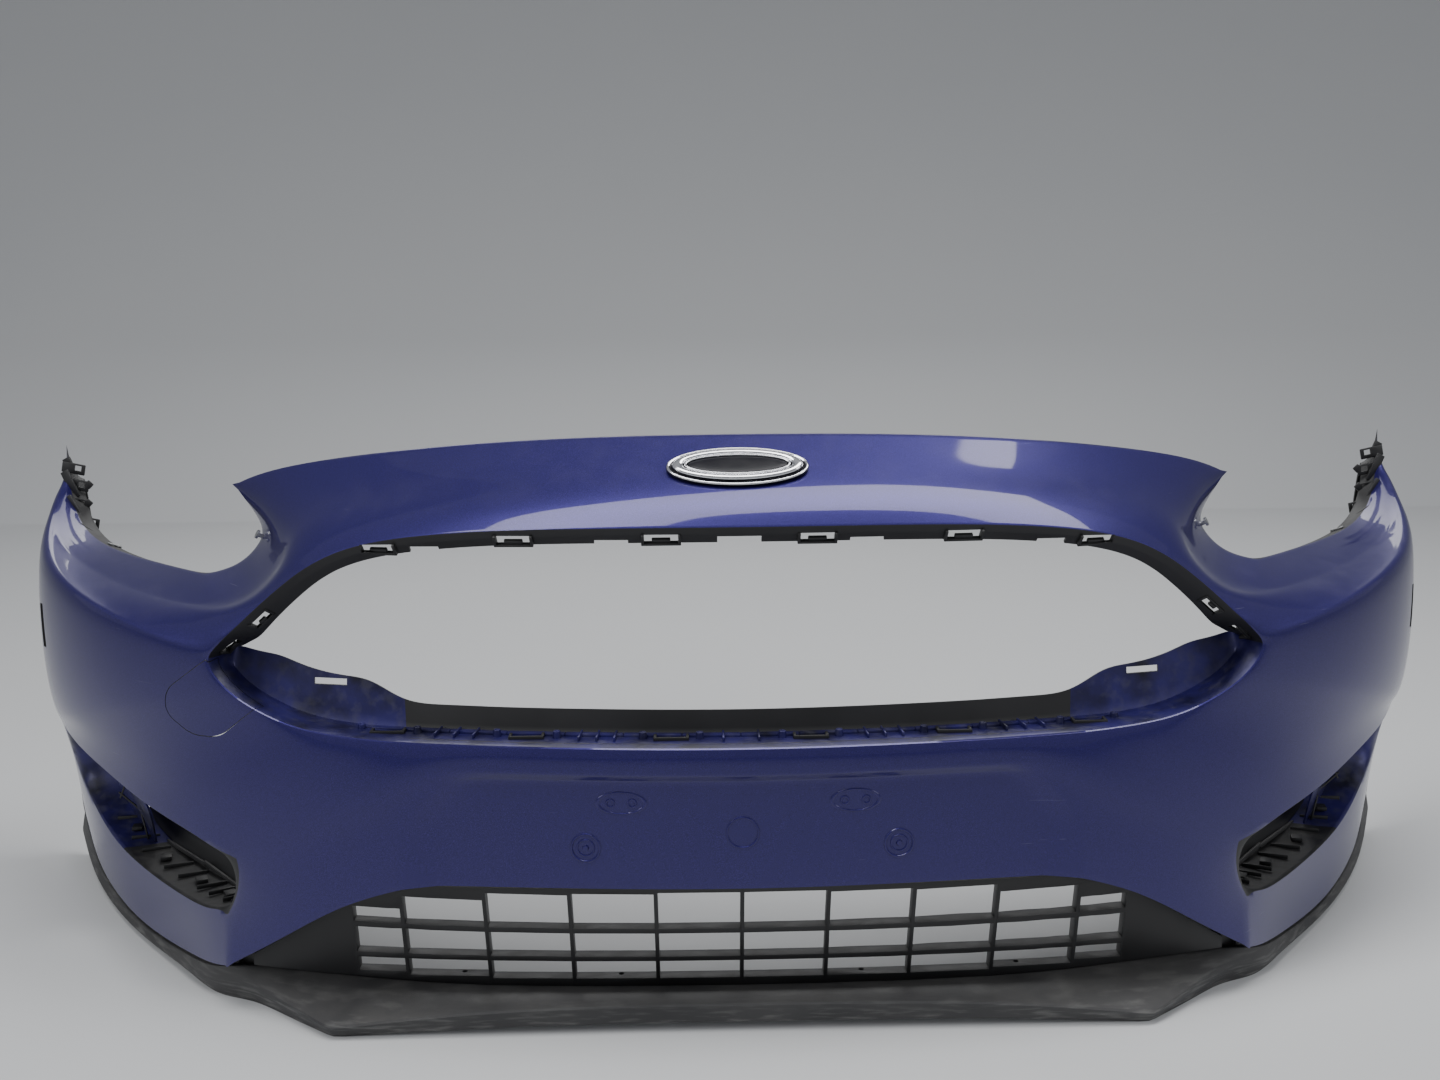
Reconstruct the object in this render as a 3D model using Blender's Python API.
"""Front bumper cover with its lip, lower grille, emblem and fixings.

Metres, +Z up. The front faces -Y, +X is on the right when it is seen from the front,
and the cover stands on its lip. Points are written in millimetres and scaled by MM.
"""

import math

import bmesh
import bpy
from mathutils import Matrix, Vector

MM = 0.001

# Driving dimensions, in millimetres.
HALF_WIDTH = 890.0          # half the width of the plan curve at the wheel arches
NOSE_DEPTH = 520.0          # from the foremost point back to where the sides run straight
ORIGIN_DEPTH = 296.3        # from the foremost point back to the middle of the whole cover
PLAN_POWER = 2.2            # roundness of the plan curve: 2 is an ellipse
WALL = 3.0                  # wall of the cover and the lip
FIT = 0.4                   # gap between two pieces that touch
EDGE_ROLL = 13.0            # width of the rounded edge round the grille opening
ROLL_BULGE = 3.0            # how far that rounded edge stands out
CROWN = 4.0                 # how far the skin between edge and crease bulges
PLATE_SINK = 7.0            # depth of the number-plate recess
POCKET_DEPTH = 62.0         # how far the fog-lamp pockets run in, along their sill
POCKET_ROOF = 0.45          # share of that depth along their brow
GRILLE_THICK = 16.0
BADGE_LONG = 145.0
BADGE_HIGH = 56.0

# Stations run round half of the cover, from the top centre over the corner to the bottom centre.
# The edge of the grille opening:
OPENING = [
    (0, 30, 540), (132, 34, 540), (258, 46, 538), (360, 62, 528), (408, 70, 514),
    (432, 74, 502), (452, 77, 490), (480, 81, 468), (503, 85, 448), (519, 88, 433),
    (531, 90, 423), (541, 93, 413), (549, 95, 405), (553, 97, 398), (552, 96, 390),
    (547, 94, 382), (540, 91, 374), (530, 87, 365), (517, 83, 356), (500, 78, 347),
    (478, 71, 338), (452, 63, 331), (425, 56, 327), (395, 48, 325), (352, 38, 323),
    (310, 30, 323), (270, 23, 323), (240, 18, 323), (165, 9, 323), (80, 2, 323), (0, 0, 323),
]
# The crease under the headlamp, which runs on as the brow over the fog pocket:
CREASE = [
    (0, 78, 587), (140, 84, 586), (270, 102, 579), (400, 135, 563), (462, 150, 543),
    (476, 140, 517), (475, 121, 493), (510, 121, 455), (558, 136, 443), (625, 190, 441),
    (705, 262, 446), (780, 340, 458), (838, 415, 480), (874, 485, 515), (885, 540, 392),
    (882, 505, 290), (868, 462, 238), (848, 410, 245), (790, 310, 243), (731, 240, 234),
    (672, 180, 219), (625, 138, 210), (580, 108, 198), (545, 94, 178), (478, 68, 190),
    (400, 45, 225), (346, 33, 238), (322, 28, 240), (215, 12, 245), (108, 3, 246), (0, 0, 247),
]
# The middle of the chamfer, which runs on as the sill under the fog pocket:
SILL = [
    (0, 108, 608), (158, 115, 606), (305, 137, 597), (462, 190, 576), (525, 222, 549),
    (503, 188, 518), (505, 178, 496), (532, 175, 465), (575, 180, 456), (646, 248, 453),
    (727, 323, 456), (797, 397, 466), (848, 462, 492), (874, 520, 548), (887, 578, 397),
    (886, 535, 290), (880, 505, 200), (866, 480, 170), (811, 415, 113), (762, 355, 91),
    (689, 270, 87), (626, 190, 95), (583, 138, 103), (553, 112, 118), (485, 68, 140),
    (410, 46, 180), (348, 32, 200), (318, 27, 204), (218, 13, 205), (110, 3, 206), (0, 0, 207),
]
# The outer edge: blade top, blade tip, headlamp cut-out, horn tip, wheel arch, lower edge:
RIM = [
    (0, 130, 623), (170, 137, 621), (330, 163, 610), (505, 228, 584), (572, 281, 556),
    (524, 236, 516), (529, 228, 496), (553, 222, 472), (590, 220, 464), (664, 300, 461),
    (745, 380, 462), (808, 450, 469), (850, 505, 500), (868, 550, 575), (887, 612, 400),
    (888, 562, 290), (888, 540, 190), (892, 562, 73), (834, 450, 32), (756, 335, 23),
    (694, 260, 22), (633, 190, 30), (585, 130, 42), (557, 100, 53), (490, 70, 96),
    (418, 48, 144), (352, 32, 166), (316, 26, 170), (220, 14, 171), (112, 4, 171), (0, 0, 171),
]
BLADE_TIP, NOTCH, HORN_TIP = 4, 8, 13
PLATE_SIDE = 26
POCKET_REAR, POCKET_FRONT = 17, 23
SHARP_CORNERS = (BLADE_TIP, HORN_TIP, POCKET_REAR, POCKET_FRONT)

# Flanges, as steps (x, y, z) from the edge at some stations; the ones between are blended.
CLIP_FLANGE = {0: (0, 5, -8), 4: (-2, 5, -8), 9: (-8, 9, -7), 12: (-10, 20, -2), 15: (-8, 44, -2), 30: (0, 56, -2)}
CLIP_FLANGE_END = {
    0: (0, 13, -17), 4: (-5, 13, -17), 9: (-19, 20, -15), 12: (-19, 40, -4), 15: (-14, 50, 18), 19: (-12, 58, 44),
    23: (-8, 60, 46), 24: (0, 60, 24), 30: (0, 60, 22),
}
RIM_FLANGE = {
    0: (0, 24, -3), 3: (-4, 22, -4), 4: (-16, 12, -8), 5: (-2, 18, -4), 8: (-4, 16, -8), 11: (-16, 8, -6),
    13: (-16, 6, -10), 14: (-26, 0, -2), 16: (-26, 0, 6), 17: (-20, -8, 16), 20: (-14, 12, 3),
    23: (-8, 18, 4), 30: (0, 20, 3),
}

# The lip's long lines, from the centre out to the wheel arch.
LIP_TOP = [
    (0, 84, 30), (130, 85, 30), (260, 89, 31), (350, 96, 35), (430, 106, 42), (505, 117, 46),
    (556, 121, 45), (588, 136, 37), (634, 193, 26), (695, 263, 18), (757, 338, 19), (835, 453, 27),
    (892, 565, 66),
]
# The ridge and the low edge run freely at the front; beside the painted sill they follow the top line.
LIP_RIDGE = [(0, 30, 36), (130, 30, 36), (255, 30, 33), (350, 30, 25), (434, 30, 16), (500, 84, 24), (552, 124, 28)]
LIP_LOW = [(0, 38, 12), (130, 38, 12), (255, 38, 11), (355, 40, 6), (432, 44, 0), (490, 88, 0), (540, 132, 0)]
LIP_BULGE = 6.0             # how far the ridge stands out from the sill
LIP_TUCK = 7.0              # how far the low edge sits inside it
LIP_SUNK = 1.5              # the low edge is drawn this far down and cut off flat on the floor
LIP_UNDER = 16.0            # width of the lip's underside
LIP_RISE = 5.0              # how far that underside rises to the rear
LIP_CORNER = 4
LIP_SIDE = 7                # from this station on the lip runs under the painted sill

LIP_FLANGE = 14.0
# Screws that hold the lip to the grille, half of them, at the underside of the lip's flange.
LIP_SCREWS = [(130, 91, 27.2), (300, 98, 30.1)]

# Clip windows in the upper flange, then the notches in its free edge: x, y, z, length, turn about Z.
FLANGE_WINDOWS = [
    (78, 42, 528, 34, 0), (226, 51, 527, 34, 4), (365, 71, 517, 33, 12),
    (128, 46, 522, 34, 0), (318, 67, 514.5, 30, 8),
]
WINDOW_HIGH = 9.0
SHELF_WINDOWS = [(71, 38, 322), (219, 50, 322), (365, 75, 322)]
CORNER_WINDOWS = (8, 11)    # the stations where the flange round the opening's corner has a window
END_PLATE_SLOT = (432, 120, 366)
SIDE_SLOT = (826, 318, 385)
SIDE_SLOT_TURN = 62
HORN_TABS = [(853, 530, 546), (845, 518, 526), (844, 509, 503), (826, 494, 480)]
PLATE_BOSS = (159, 15.0, 216)

# The tow-eye flap in the -X corner; its upper edge is the grille opening's own edge.
TOW_OUTLINE = [(-556, 96, 397), (-611, 121, 358), (-617, 124, 330), (-587, 109, 310), (-550, 93, 312), (-500, 74, 351)]
TOW_NORMAL = (-0.40, -0.92, 0.05)
TOW_REACH = 20.0
TOW_HINGE = (1, 2)          # the two corners at the ends of its hinge line

# The lower grille leans back: (y, z) of its crown and foot on the centre plane.
GRILLE_TOP = (28, 167)
GRILLE_FOOT = (82, 31)
GRILLE_FOOT_BOW = 0.4       # the foot is straighter than the chin, by this share of the plan curve
GRILLE_CROWN = [(0, 167), (330, 160), (418, 135), (490, 87), (532, 61)]     # x and z of its upper edge
GRILLE_SILL = [(0, 31), (235, 32.2), (300, 34.2), (350, 37), (418, 42), (490, 46), (532, 48)]   # its lower edge
GRILLE_RAIL = 7.0           # least height of its rails
GRILLE_PITCH = 90.0
GRILLE_BAR = 4.0
GRILLE_ROWS = [(160, 110), (104, 72), (66, 42)]                             # z from and to
GRILLE_END_CELL = 414.0
GRILLE_REACH = 90.0                                                         # depth of the cells' cutters

BADGE_CENTRE = (0, 86.7, 591.2)
BADGE_TILT = 35.0
BADGE_STUD = 45.0
BADGE_LIFT = 0.9
BADGE_NUT_LIFT = -5.8

# Sheet-metal U-nuts on a flange's free edge: edge point, direction onto the flange, direction along it.
ARCH_NUTS = [
    ((859.6, 588.4, 380), (1, 0, 0), (0, 0.13, 0.99)),
    ((859.6, 567.4, 300), (1, 0, 0), (0, 0.33, 0.94)),
    ((859.6, 545.6, 205), (1, 0.08, 0), (0, 0.11, 0.99)),
]
TRAY_NUTS = [(80, 55.4, 17.5), (240, 55.4, 16.0)]
TRAY_NUT_OUT = (0, -0.3, 1)
TRAY_NUT_ONTO = (0, -1, -0.3)
CLIP_EDGE = ((761.2, 424.5, 458.2), (0.78, -0.5, 0.36), (0.67, 0.74, 0.07))
CORNER_SCREW = (528, 221, 507)
CORNER_SCREW_OUT = (0.81, -0.37, 0.46)
NUT_WIDTH = 12.0
NUT_LEAF = 14.0
NUT_SHEET = 0.8
NUT_PLAY = 0.8              # gap between each leaf and the flange
NUT_HOLE = 2.4
# Pan-head screws: radius of head and shank, height of the head, length under it.
SCREW_SHANK = 2.3
SCREW_HEAD_HIGH = 2.5
LIP_SCREW_HEAD, LIP_SCREW_LONG = 6.0, 9.0
CORNER_SCREW_HEAD, CORNER_SCREW_LONG = 5.0, 10.0
SCREW_HOLE = 3.0

PAINT = (0.050, 0.045, 0.250)
BLACK_PLASTIC = (0.012, 0.012, 0.013)
LIP_PLASTIC = (0.045, 0.045, 0.047)
CHROME = (0.78, 0.78, 0.79)
ZINC = (0.55, 0.56, 0.57)


def clear_scene():
    for obj in list(bpy.data.objects):
        bpy.data.objects.remove(obj, do_unlink=True)


def material(name, colour, roughness, metallic=0.0):
    made = bpy.data.materials.new(name)
    made.use_nodes = True
    shader = made.node_tree.nodes["Principled BSDF"]
    shader.inputs["Base Color"].default_value = (*colour, 1.0)
    shader.inputs["Roughness"].default_value = roughness
    shader.inputs["Metallic"].default_value = metallic
    return made


def add_object(name, bm, finish, smooth=True):
    """Turns a bmesh into a scene object with one material."""
    mesh = bpy.data.meshes.new(name)
    bm.to_mesh(mesh)
    bm.free()
    if smooth:
        mesh.shade_smooth()
        mesh.set_sharp_from_angle(angle=math.radians(32))
    if finish:
        mesh.materials.append(finish)
    obj = bpy.data.objects.new(name, mesh)
    bpy.context.collection.objects.link(obj)
    return obj


def helper(obj):
    obj.hide_render = True
    obj.display_type = "WIRE"
    return obj


def add_boolean(obj, name, other, operation):
    cut = obj.modifiers.new(name, "BOOLEAN")
    cut.operation = operation
    cut.solver = "EXACT"
    cut.object = other
    return cut


def mm(point):
    return Vector(point) * MM


# ---------------------------------------------------------------- plan curve

def plan_radius(angle):
    """Distance from the pole (0, NOSE_DEPTH) to the plan curve; angle 0 points to the front."""
    across, ahead = abs(math.sin(angle)), math.cos(angle)
    if ahead <= 0.0:
        return HALF_WIDTH / across
    total = (across / HALF_WIDTH) ** PLAN_POWER + (ahead / NOSE_DEPTH) ** PLAN_POWER
    return total ** (-1.0 / PLAN_POWER)


def to_polar(point):
    x, y, z = point
    angle = math.atan2(x, NOSE_DEPTH - y)
    return angle, math.hypot(x, NOSE_DEPTH - y) - plan_radius(angle), z


def from_polar(angle, offset, z):
    radius = plan_radius(angle) + offset
    return radius * math.sin(angle), NOSE_DEPTH - radius * math.cos(angle), z


def between(start, end, share, bulge=0.0):
    """A point part of the way along the skin, which follows the plan curve."""
    first, last = to_polar(start), to_polar(end)
    angle, offset, z = (a + (b - a) * share for a, b in zip(first, last))
    return from_polar(angle, offset + bulge, z)


def inward(point, depth, drop=0.0):
    angle, offset, z = to_polar(point)
    return from_polar(angle, offset - depth, z - drop)


def blended(keys, station):
    """The step at a station, blended between the stations that keys gives."""
    before = max(key for key in keys if key <= station)
    after = min(key for key in keys if key >= station)
    share = 0.0 if before == after else (station - before) / (after - before)
    return tuple(a + (b - a) * share for a, b in zip(keys[before], keys[after]))


def stepped(points, keys):
    return [tuple(a + b for a, b in zip(point, blended(keys, i))) for i, point in enumerate(points)]


# ---------------------------------------------------------------- sheets

def sheet(lines, closed_gap=None):
    """A bmesh grid through the lines, and its grid of vertices. closed_gap(row, column) leaves a face out."""
    bm = bmesh.new()
    bm.edges.layers.float.new("crease_edge")
    bm.verts.layers.float.new("crease_vert")
    grid = [[bm.verts.new(mm(point)) for point in line] for line in lines]
    for row in range(len(lines) - 1):
        for column in range(len(lines[0]) - 1):
            if closed_gap and closed_gap(row, column):
                continue
            corners = (
                grid[row][column], grid[row + 1][column],
                grid[row + 1][column + 1], grid[row][column + 1],
            )
            bm.faces.new(corners)
    return bm, grid


def crease_line(bm, vertices, amount):
    layer = bm.edges.layers.float["crease_edge"]
    for first, second in zip(vertices, vertices[1:]):
        edge = bm.edges.get((first, second))
        if edge:
            edge[layer] = amount


def crease_points(bm, vertices):
    layer = bm.verts.layers.float["crease_vert"]
    for vertex in vertices:
        vertex[layer] = 1.0


def add_shell_modifiers(obj, wall, levels=1):
    mirror = obj.modifiers.new("both halves", "MIRROR")
    mirror.merge_threshold = 0.0001
    subdivision = obj.modifiers.new("smooth", "SUBSURF")
    subdivision.levels = levels
    subdivision.render_levels = levels
    subdivision.boundary_smooth = "PRESERVE_CORNERS"
    solid = obj.modifiers.new("wall", "SOLIDIFY")
    solid.thickness = wall * MM
    solid.offset = -1.0


def skin_between(roll, share_front, share_plate):
    """A line on the skin between the rolled edge and the crease; the plate recess has its own share."""
    line = []
    for station, (start, end) in enumerate(zip(roll, CREASE)):
        share = share_front if station < PLATE_SIDE else share_plate
        line.append(between(start, end, share, bulge=CROWN if station < PLATE_SIDE else 0.0))
    return line


def sunk(line):
    """The line with its stretch behind the number plate pushed in."""
    return [inward(point, PLATE_SINK if i > PLATE_SIDE else 0.0) for i, point in enumerate(line)]


def cover_cage():
    """Half of the painted skin with its flanges and the fog-lamp pocket, before it gets its wall."""
    roll = []
    for edge, crease in zip(OPENING, CREASE):
        length = math.dist(edge, crease)
        roll.append(between(edge, crease, EDGE_ROLL / length, bulge=ROLL_BULGE))
    first = skin_between(roll, 0.30, 0.24)
    second = sunk(skin_between(roll, 0.65, 0.38))
    clip_flange = stepped(OPENING, CLIP_FLANGE)
    clip_flange_end = stepped(OPENING, CLIP_FLANGE_END)
    rim_flange = stepped(RIM, RIM_FLANGE)
    body = [OPENING, roll, first, second, sunk(CREASE), sunk(SILL), sunk(RIM)]
    lines = [clip_flange_end, clip_flange] + body + [sunk(rim_flange)]
    crease_row, sill_row = 6, 7

    def in_pocket(row, column):
        return row == crease_row and POCKET_REAR <= column < POCKET_FRONT

    bm, grid = sheet(lines, in_pocket)
    crease_line(bm, grid[2], 0.7)
    crease_line(bm, grid[1], 0.6)
    crease_line(bm, grid[crease_row][NOTCH:HORN_TIP], 0.8)
    crease_line(bm, grid[crease_row][POCKET_REAR:POCKET_FRONT + 1], 0.7)
    crease_line(bm, grid[sill_row][POCKET_REAR:POCKET_FRONT + 1], 0.7)
    crease_line(bm, grid[8], 0.9)
    crease_line(bm, [grid[row][NOTCH] for row in (6, 7, 8)], 0.6)
    crease_line(bm, [grid[row][POCKET_FRONT] for row in (7, 8)], 0.6)
    for row in (4, 5):
        crease_line(bm, grid[row][PLATE_SIDE:], 0.6)
    for station in (PLATE_SIDE, PLATE_SIDE + 1):
        crease_line(bm, [row[station] for row in grid[5:9]], 0.5)
    crease_points(bm, [grid[8][i] for i in SHARP_CORNERS])
    add_pocket(bm, grid[crease_row], grid[sill_row])
    bmesh.ops.recalc_face_normals(bm, faces=bm.faces)
    chin_face = min(bm.faces, key=lambda face: (face.calc_center_median() - mm((50, 0, 225))).length)
    if chin_face.normal.y > 0:
        bmesh.ops.reverse_faces(bm, faces=bm.faces)
    return bm


def add_pocket(bm, brow, sill):
    """Carries the edge of the fog opening inwards as the pocket's walls."""
    ring = brow[POCKET_REAR:POCKET_FRONT + 1] + sill[POCKET_REAR:POCKET_FRONT + 1][::-1]
    upper = POCKET_FRONT - POCKET_REAR + 1
    previous = ring
    for depth, drop in ((0.35, 0.0), (1.0, 3.0)):
        fresh = []
        for index, vertex in enumerate(ring):
            x, y, z = vertex.co / MM
            shallow = POCKET_ROOF if index < upper else 1.0
            fresh.append(bm.verts.new(mm(inward((x, y, z), POCKET_DEPTH * depth * shallow, -drop))))
        for i in range(len(ring)):
            j = (i + 1) % len(ring)
            bm.faces.new((previous[i], previous[j], fresh[j], fresh[i]))
        previous = fresh


def box(bm, centre, size, turn=None):
    """Adds a closed box: centre and size in millimetres, turn is a rotation matrix."""
    place = Matrix.Translation(mm(centre)) @ (turn or Matrix()).to_4x4() @ Matrix.Diagonal((*mm(size), 1.0))
    return bmesh.ops.create_cube(bm, size=1.0, matrix=place)["verts"]


def cylinder(bm, centre, radius, height, turn=None, sides=24):
    place = Matrix.Translation(mm(centre)) @ (turn or Matrix()).to_4x4()
    radius, height = radius * MM, height * MM
    bmesh.ops.create_cone(
        bm, cap_ends=True, segments=sides, radius1=radius, radius2=radius, depth=height, matrix=place
    )


def turned(degrees, axis):
    return Matrix.Rotation(math.radians(degrees), 3, axis)


def outline_prism(bm, points, push):
    """Closes an outline of 3-D points into a prism that reaches push (mm) to both sides."""
    shift = mm(push)
    ring = [bm.verts.new(mm(point) - shift) for point in points]
    face = bm.faces.new(ring)
    made = bmesh.ops.extrude_face_region(bm, geom=[face])["geom"]
    fresh = [item for item in made if isinstance(item, bmesh.types.BMVert)]
    bmesh.ops.translate(bm, verts=fresh, vec=shift * 2)
    bmesh.ops.recalc_face_normals(bm, faces=bm.faces)


def flange_middle(station, side):
    """A point halfway down the opening's flange, and the turn that lays X along its edge and Z through it."""
    along_edge = Vector(OPENING[station + 1]) - Vector(OPENING[station - 1])
    down = Vector(blended(CLIP_FLANGE_END, station))
    centre = Vector(OPENING[station]) + down * 0.55
    out = along_edge.cross(down)
    return mirrored(centre, side), facing(mirrored(out, side), mirrored(along_edge, side))


def openings_cutter():
    """Clip windows and notches in the opening's flange, pocket slots and the slot in each side."""
    bm = bmesh.new()
    for side in (-1, 1):
        for x, y, z, length, turn in FLANGE_WINDOWS:
            box(bm, (side * x, y, z), (length, 22, WINDOW_HIGH), turned(side * turn, "Z"))
        for x, y, z in SHELF_WINDOWS:
            box(bm, (side * x, y, z), (30, 9, 30))
        for station in CORNER_WINDOWS:
            centre, turn = flange_middle(station, side)
            box(bm, centre, (22, WINDOW_HIGH, 14), turn)
        x, y, z = END_PLATE_SLOT
        box(bm, (side * x, y, z), (36, 30, 7))
        x, y, z = SIDE_SLOT
        turn = turned(side * SIDE_SLOT_TURN, "Z") @ turned(side * 8, "Y")
        box(bm, (side * x, y, z), (26, 40, 52), turn)
        out = Vector(mirrored(CORNER_SCREW_OUT, side)).normalized()
        middle = Vector(mirrored(CORNER_SCREW, side)) - out * 4
        cylinder(bm, middle, SCREW_HOLE, 16, facing(out, (0, 0, 1)), 12)
    for x in (-BADGE_STUD, BADGE_STUD):
        cylinder(bm, badge_point(x), 3.2, 20, badge_turn(), 12)
    return helper(add_object("cover openings", bm, None, smooth=False))


def badge_turn():
    return turned(BADGE_TILT, "X")


def badge_point(x, lift=0.0):
    """A point on the badge's axis plane, lift millimetres out from the blade."""
    out = badge_turn() @ Vector((0, 0, 1))
    return Vector(BADGE_CENTRE) + Vector((x, 0, 0)) + out * lift


def horn_tabs():
    """The ladder of screw tabs that each horn holds out to the headlamp."""
    bm = bmesh.new()
    for side in (-1, 1):
        for x, y, z in HORN_TABS:
            box(bm, (side * x, y, z), (30, 3, 13))
    plates = helper(add_object("horn tab plates", bm, None, smooth=False))
    add_boolean(plates, "holes", horn_tab_holes(), "DIFFERENCE")
    return plates


def horn_tab_holes():
    bm = bmesh.new()
    for side in (-1, 1):
        for x, y, z in HORN_TABS:
            box(bm, (side * (x - 6), y, z), (8, 9, 6.6))
    return helper(add_object("horn tab holes", bm, None, smooth=False))


def plate_bosses():
    """Two flat bosses that carry the number plate."""
    bm = bmesh.new()
    for side in (-1, 1):
        cylinder(bm, (side * PLATE_BOSS[0], PLATE_BOSS[1], PLATE_BOSS[2]), 13, 8, turned(90, "X"))
    return helper(add_object("plate boss discs", bm, None, smooth=False))


def tow_outline(shrink):
    """The flap's outline on the skin, shrunk towards its middle by some millimetres."""
    middle = sum((Vector(point) for point in TOW_OUTLINE), Vector()) / len(TOW_OUTLINE)
    outline = []
    for point in TOW_OUTLINE:
        away = Vector(point) - middle
        outline.append(Vector(point) - away.normalized() * shrink)
    return outline


def tow_cutter(name, shrink, reach):
    bm = bmesh.new()
    outline_prism(bm, tow_outline(shrink), Vector(TOW_NORMAL).normalized() * reach)
    return helper(add_object(name, bm, None, smooth=False))


def build_cover(paint):
    cover = add_object("bumper_cover", cover_cage(), paint)
    add_shell_modifiers(cover, WALL)
    add_boolean(cover, "plate bosses", plate_bosses(), "UNION")
    add_boolean(cover, "openings", openings_cutter(), "DIFFERENCE")
    add_boolean(cover, "tow-eye opening", tow_cutter("tow opening", 0.0, TOW_REACH), "DIFFERENCE")
    add_boolean(cover, "horn tabs", horn_tabs(), "UNION")
    return cover


def build_tow_cover(paint):
    """The flap is the piece of skin that its opening leaves out, a little smaller."""
    flap = add_object("tow_eye_cover", cover_cage(), paint)
    add_shell_modifiers(flap, WALL)
    add_boolean(flap, "outline", tow_cutter("tow flap", 1.0, TOW_REACH - 1.0), "INTERSECT")
    return flap


def build_lip(plastic):
    beside = LIP_TOP[LIP_SIDE:]
    ridge = LIP_RIDGE + [inward(point, -LIP_BULGE, point[2] * 0.45) for point in beside]
    low = LIP_LOW + [inward(point, LIP_TUCK, point[2]) for point in beside]
    low = [(x, y, z - LIP_SUNK) for x, y, z in low]
    joggle = [inward(point, LIP_FLANGE / 2) for point in LIP_TOP]
    flange = [inward(point, LIP_FLANGE) for point in LIP_TOP]
    under = [inward(point, LIP_UNDER, -LIP_RISE) for point in low]
    bm, grid = sheet([flange, joggle, LIP_TOP, ridge, low, under])
    crease_line(bm, grid[2], 0.5)
    crease_line(bm, grid[3], 0.3)
    crease_line(bm, grid[4], 0.5)
    crease_line(bm, [row[LIP_CORNER] for row in grid], 0.4)
    bmesh.ops.recalc_face_normals(bm, faces=bm.faces)
    top_face = max(bm.faces, key=lambda face: abs(face.normal.z))
    if top_face.normal.z < 0:
        bmesh.ops.reverse_faces(bm, faces=bm.faces)
    lip = add_object("lower_lip", bm, plastic)
    add_shell_modifiers(lip, WALL)
    add_boolean(lip, "screw holes", screw_holes("lip screw holes"), "DIFFERENCE")
    bm = bmesh.new()
    box(bm, (0, 300, -20), (2100, 900, 40))
    add_boolean(lip, "flat foot", helper(add_object("floor", bm, None, smooth=False)), "DIFFERENCE")
    return lip


def along(points, x):
    """Straight-line interpolation through (x, value) pairs."""
    for (x0, a), (x1, b) in zip(points, points[1:]):
        if x <= x1:
            return a + (b - a) * (x - x0) / (x1 - x0)
    return points[-1][1]


def grille_point(x, z, depth=0.0):
    """A point on the reclined grille at height z, depth behind its front face."""
    share = (GRILLE_TOP[1] - z) / (GRILLE_TOP[1] - GRILLE_FOOT[1])
    bow = plan_depth(abs(x))
    crown_y = GRILLE_TOP[0] + bow
    foot_y = GRILLE_FOOT[0] + bow * GRILLE_FOOT_BOW
    return x, crown_y + (foot_y - crown_y) * share + depth, z


def plan_depth(x):
    """How far back the plan curve lies at x."""
    return NOSE_DEPTH * (1 - (1 - (x / HALF_WIDTH) ** PLAN_POWER) ** (1 / PLAN_POWER))


def build_grille(plastic):
    bm = bmesh.new()
    half = GRILLE_CROWN[-1][0]
    right_side = [0, 90, 180, 270, 330, 375, 418, 455, 490, half]
    previous = None
    for x in [-x for x in right_side[:0:-1]] + right_side:
        top = along(GRILLE_CROWN, abs(x))
        foot = along(GRILLE_SILL, abs(x))
        corners = [
            grille_point(x, top), grille_point(x, foot),
            grille_point(x, foot, GRILLE_THICK), grille_point(x, top, GRILLE_THICK),
        ]
        ring = [bm.verts.new(mm(corner)) for corner in corners]
        if previous:
            for i in range(4):
                j = (i + 1) % 4
                bm.faces.new((previous[i], ring[i], ring[j], previous[j]))
        else:
            bm.faces.new(ring[::-1])
        previous = ring
    bm.faces.new(previous)
    bmesh.ops.recalc_face_normals(bm, faces=bm.faces)
    grille = add_object("lower_grille", bm, plastic, smooth=False)
    add_boolean(grille, "screw holes", screw_holes("grille screw holes"), "DIFFERENCE")
    add_boolean(grille, "cells", grille_cells(), "DIFFERENCE")
    return grille


def grille_cells():
    """The open cells: eight full columns and a narrow one at each end."""
    bm = bmesh.new()
    edges = [column * GRILLE_PITCH for column in range(5)]
    spans = [(a + GRILLE_BAR / 2, b - GRILLE_BAR / 2) for a, b in zip(edges, edges[1:])]
    spans.append((edges[-1] + GRILLE_BAR / 2, GRILLE_END_CELL))
    for row_top, row_bottom in GRILLE_ROWS:
        for left, right in spans:
            top = min(row_top, along(GRILLE_CROWN, right) - GRILLE_RAIL)
            bottom = max(row_bottom, along(GRILLE_SILL, right) + GRILLE_RAIL)
            middle = (left + right) / 2
            y = grille_point(middle, (top + bottom) / 2, GRILLE_THICK / 2)[1]
            for side in (-1, 1):
                box(bm, (side * middle, y, (top + bottom) / 2), (right - left, GRILLE_REACH, top - bottom))
    return helper(add_object("grille cells", bm, None, smooth=False))


def oval(bm, long, high, thick, lift, hole=None, sides=40):
    """An oval plate, or an oval ring if hole gives the inner long and high, lying on the badge's seat."""
    place = Matrix.Translation(mm(badge_point(0, lift))) @ badge_turn().to_4x4()

    def ring(width, height, level):
        made = []
        for i in range(sides):
            turn = 2 * math.pi * i / sides
            flat = mm((width / 2 * math.cos(turn), height / 2 * math.sin(turn), level))
            made.append(bm.verts.new(place @ flat))
        return made

    outer = [ring(long, high, 0), ring(long, high, thick)]
    inner = [ring(*hole, 0), ring(*hole, thick)] if hole else None
    for i in range(sides):
        j = (i + 1) % sides
        bm.faces.new((outer[0][i], outer[0][j], outer[1][j], outer[1][i]))
        if inner:
            bm.faces.new((inner[0][j], inner[0][i], inner[1][i], inner[1][j]))
            bm.faces.new((outer[1][i], outer[1][j], inner[1][j], inner[1][i]))
            bm.faces.new((outer[0][j], outer[0][i], inner[0][i], inner[0][j]))
    if not inner:
        bm.faces.new(outer[0][::-1])
        bm.faces.new(outer[1])


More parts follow.
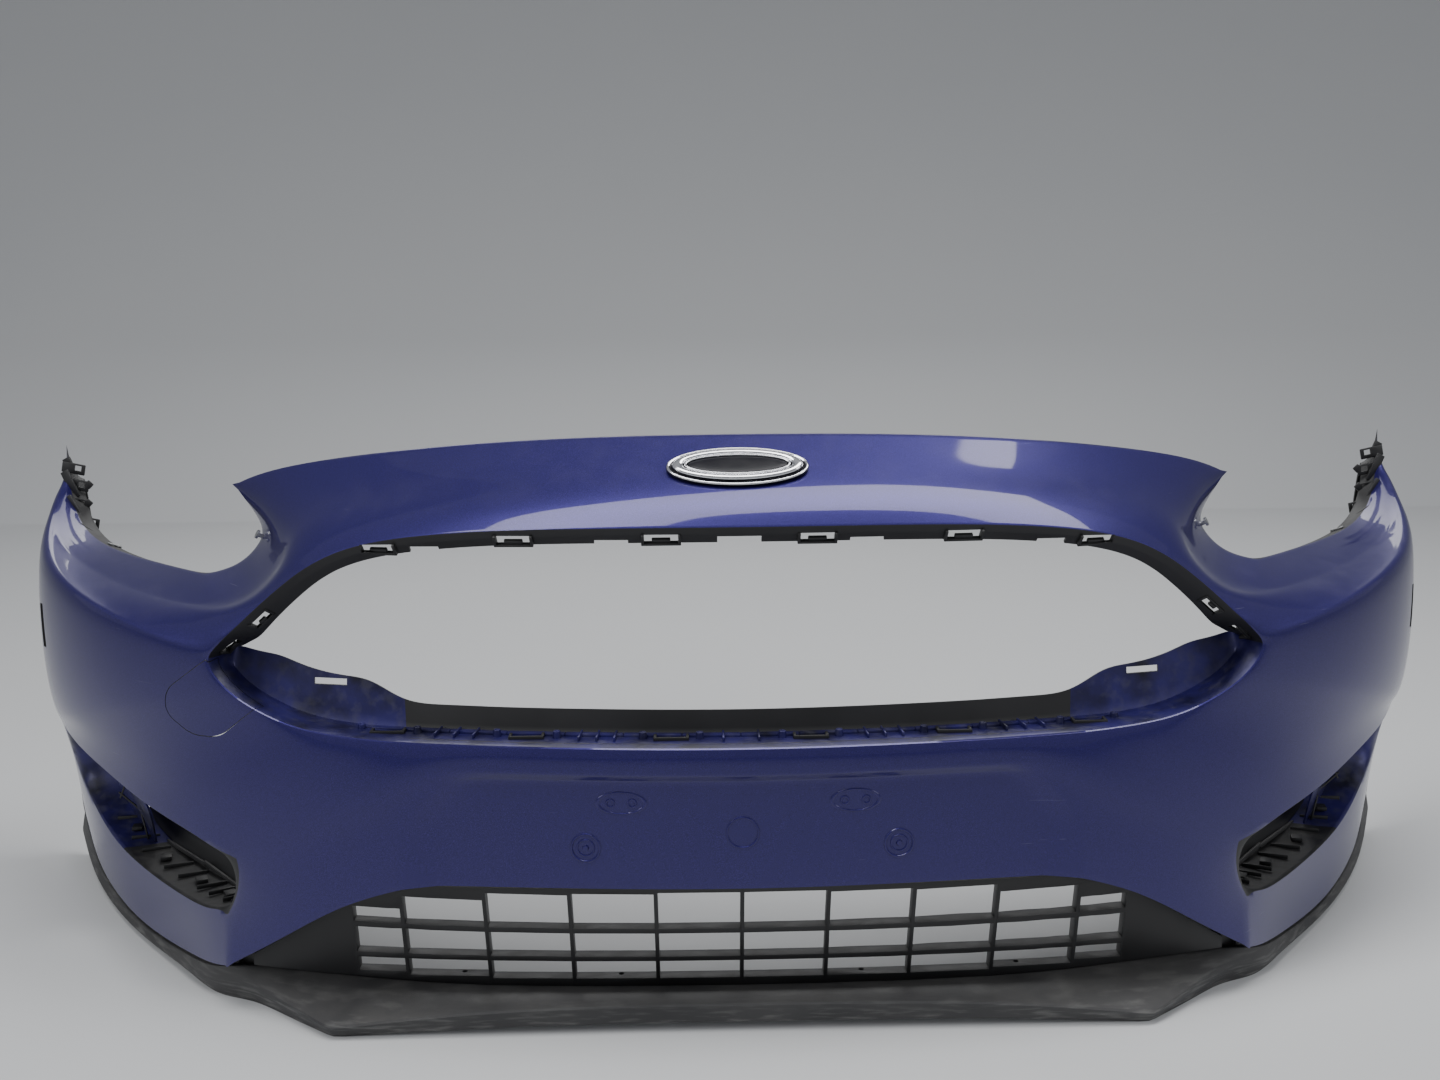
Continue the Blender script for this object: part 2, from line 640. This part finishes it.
def build_badge(chrome, black):
    bm = bmesh.new()
    oval(bm, BADGE_LONG, BADGE_HIGH, 4, BADGE_LIFT)
    base = add_object("badge_base", bm, black)
    bm = bmesh.new()
    for x in (-BADGE_STUD, BADGE_STUD):
        cylinder(bm, badge_point(x, BADGE_LIFT - 4), 2.5, 12, badge_turn(), 12)
    add_boolean(base, "studs", helper(add_object("badge studs", bm, None)), "UNION")
    level = BADGE_LIFT + 4 + FIT
    for name, width, height, thick, inner, finish in (
        ("badge_ring", 133, 45, 3, (111, 33), chrome),
        ("badge_inner_ring", 108, 30.5, 2.4, (103, 26.5), chrome),
        ("badge_face", 101, 25, 1.6, None, black),
    ):
        bm = bmesh.new()
        oval(bm, width, height, thick, level, inner)
        add_object(name, bm, finish)


def build_badge_nuts(zinc):
    for name, x in (("badge_nut_left", -BADGE_STUD), ("badge_nut_right", BADGE_STUD)):
        washer(name, badge_point(x, BADGE_NUT_LIFT), 7, 2.9, 1.4, badge_turn(), zinc)


def washer(name, centre, outer, inner, thick, turn, finish, sides=16):
    """A flat round plate with a hole, as a push nut or a U-nut's threaded leaf."""
    bm = bmesh.new()
    place = Matrix.Translation(mm(centre)) @ turn.to_4x4()
    rings = []
    for radius, level in ((outer, -0.5), (outer, 0.5), (inner, 0.5), (inner, -0.5)):
        points = []
        for i in range(sides):
            angle = 2 * math.pi * i / sides
            points.append(mm((radius * math.cos(angle), radius * math.sin(angle), level * thick)))
        rings.append([bm.verts.new(place @ point) for point in points])
    for index, ring in enumerate(rings):
        other = rings[(index + 1) % 4]
        for i in range(sides):
            j = (i + 1) % sides
            bm.faces.new((ring[i], ring[j], other[j], other[i]))
    bmesh.ops.recalc_face_normals(bm, faces=bm.faces)
    return add_object(name, bm, finish, smooth=False)


def screw_holes(name):
    bm = bmesh.new()
    for side in (-1, 1):
        for x, y, z in LIP_SCREWS:
            cylinder(bm, (side * x, y, z), SCREW_HOLE, 70, sides=12)
    return helper(add_object(name, bm, None, smooth=False))


def facing(out, across):
    """Rotation whose Z looks along out and whose X lies near across."""
    z = Vector(out).normalized()
    y = z.cross(Vector(across)).normalized()
    return Matrix((y.cross(z), y, z)).transposed()


def screw_mesh(head, length):
    """A pan-head screw: its head's underside is at the origin and it points down -Z."""
    bm = bmesh.new()
    cylinder(bm, (0, 0, SCREW_HEAD_HIGH / 2), head, SCREW_HEAD_HIGH, sides=14)
    screw = add_object("screw head", bm, None)
    bm = bmesh.new()
    cylinder(bm, (0, 0, -length / 2 + 0.5), SCREW_SHANK, length + 1, sides=10)
    add_boolean(screw, "shank", helper(add_object("screw shank", bm, None)), "UNION")
    return baked(screw)


def baked(obj):
    """The object's evaluated mesh; the object itself is removed."""
    graph = bpy.context.evaluated_depsgraph_get()
    mesh = bpy.data.meshes.new_from_object(obj.evaluated_get(graph))
    bpy.data.objects.remove(obj)
    return mesh


def place(name, mesh, point, turn, finish):
    if not mesh.materials:
        mesh.materials.append(finish)
    obj = bpy.data.objects.new(name, mesh)
    obj.matrix_world = Matrix.Translation(mm(point)) @ turn.to_4x4()
    bpy.context.collection.objects.link(obj)
    return obj


def nut_mesh():
    """A U-nut: sheet metal folded round a flange, +X onto the flange, with a hole through both leaves."""
    bm = bmesh.new()
    half = WALL / 2 + NUT_PLAY
    outer = half + NUT_SHEET
    outline = [
        (-NUT_SHEET, -outer), (NUT_LEAF, -outer), (NUT_LEAF, -half), (0, -half),
        (0, half), (NUT_LEAF, half), (NUT_LEAF, outer), (-NUT_SHEET, outer),
    ]
    face = bm.faces.new([bm.verts.new(mm((x, -NUT_WIDTH / 2, z))) for x, z in outline])
    made = bmesh.ops.extrude_face_region(bm, geom=[face])["geom"]
    fresh = [item for item in made if isinstance(item, bmesh.types.BMVert)]
    bmesh.ops.translate(bm, verts=fresh, vec=mm((0, NUT_WIDTH, 0)))
    bmesh.ops.recalc_face_normals(bm, faces=bm.faces)
    nut = add_object("nut blank", bm, None, smooth=False)
    bm = bmesh.new()
    cylinder(bm, (NUT_LEAF * 0.6, 0, 0), NUT_HOLE, 20, sides=10)
    add_boolean(nut, "hole", helper(add_object("nut hole", bm, None, smooth=False)), "DIFFERENCE")
    return baked(nut)


def mirrored(vector, side):
    return side * vector[0], vector[1], vector[2]


def build_fixings(zinc):
    """Screws and U-nuts, each its own piece; copies share one mesh."""
    lip_screw = screw_mesh(LIP_SCREW_HEAD, LIP_SCREW_LONG)
    corner_screw = screw_mesh(CORNER_SCREW_HEAD, CORNER_SCREW_LONG)
    nut = nut_mesh()
    for side, label in ((-1, "left"), (1, "right")):
        for number, (x, y, z) in enumerate(LIP_SCREWS, 1):
            under = (side * x, y, z - FIT)
            place(f"lip_screw_{label}_{number}", lip_screw, under, facing((0, 0, -1), (1, 0, 0)), zinc)
        out = mirrored(CORNER_SCREW_OUT, side)
        seat = Vector(mirrored(CORNER_SCREW, side)) + Vector(out).normalized() * FIT
        place(f"corner_screw_{label}", corner_screw, seat, facing(out, (0, 0, 1)), zinc)
        for number, (edge, onto, run) in enumerate(ARCH_NUTS, 1):
            turn = facing(Vector(mirrored(onto, side)).cross(Vector(mirrored(run, side))), mirrored(onto, side))
            place(f"arch_nut_{label}_{number}", nut, mirrored(edge, side), turn, zinc)
        for number, edge in enumerate(TRAY_NUTS, 1):
            turn = facing(TRAY_NUT_OUT, TRAY_NUT_ONTO)
            place(f"tray_nut_{label}_{number}", nut, mirrored(edge, side), turn, zinc)
        edge, onto, run = CLIP_EDGE
        turn = facing(Vector(mirrored(onto, side)).cross(Vector(mirrored(run, side))), mirrored(onto, side))
        place(f"headlamp_clip_{label}", nut, mirrored(edge, side), turn, zinc)


def hang_flap(flap):
    """Gives the flap a parent empty in the middle of its hinge line, the flap's outboard edge."""
    upper, lower = (Vector(TOW_OUTLINE[corner]) for corner in TOW_HINGE)
    hinge = bpy.data.objects.new("tow_hinge", None)
    hinge.location = mm((upper + lower) / 2)
    bpy.context.collection.objects.link(hinge)
    flap.parent = hinge
    flap.location = -hinge.location


def set_origin():
    """Moves everything back so that the origin lies under the middle of the cover."""
    frame = bpy.data.objects.new("part_frame", None)
    bpy.context.collection.objects.link(frame)
    for obj in bpy.data.objects:
        if obj.parent is None and obj != frame:
            obj.parent = frame
    frame.location = mm((0, -ORIGIN_DEPTH, 0))


def main():
    clear_scene()
    paint = material("blue_paint", PAINT, 0.28, 0.5)
    black = material("black_plastic", BLACK_PLASTIC, 0.45)
    lip_plastic = material("lip_plastic", LIP_PLASTIC, 0.6)
    chrome = material("chrome", CHROME, 0.12, 1.0)
    zinc = material("zinc", ZINC, 0.4, 1.0)
    build_cover(paint)
    hang_flap(build_tow_cover(paint))
    build_lip(lip_plastic)
    build_grille(black)
    build_badge(chrome, black)
    build_badge_nuts(zinc)
    build_fixings(zinc)
    set_origin()


main()
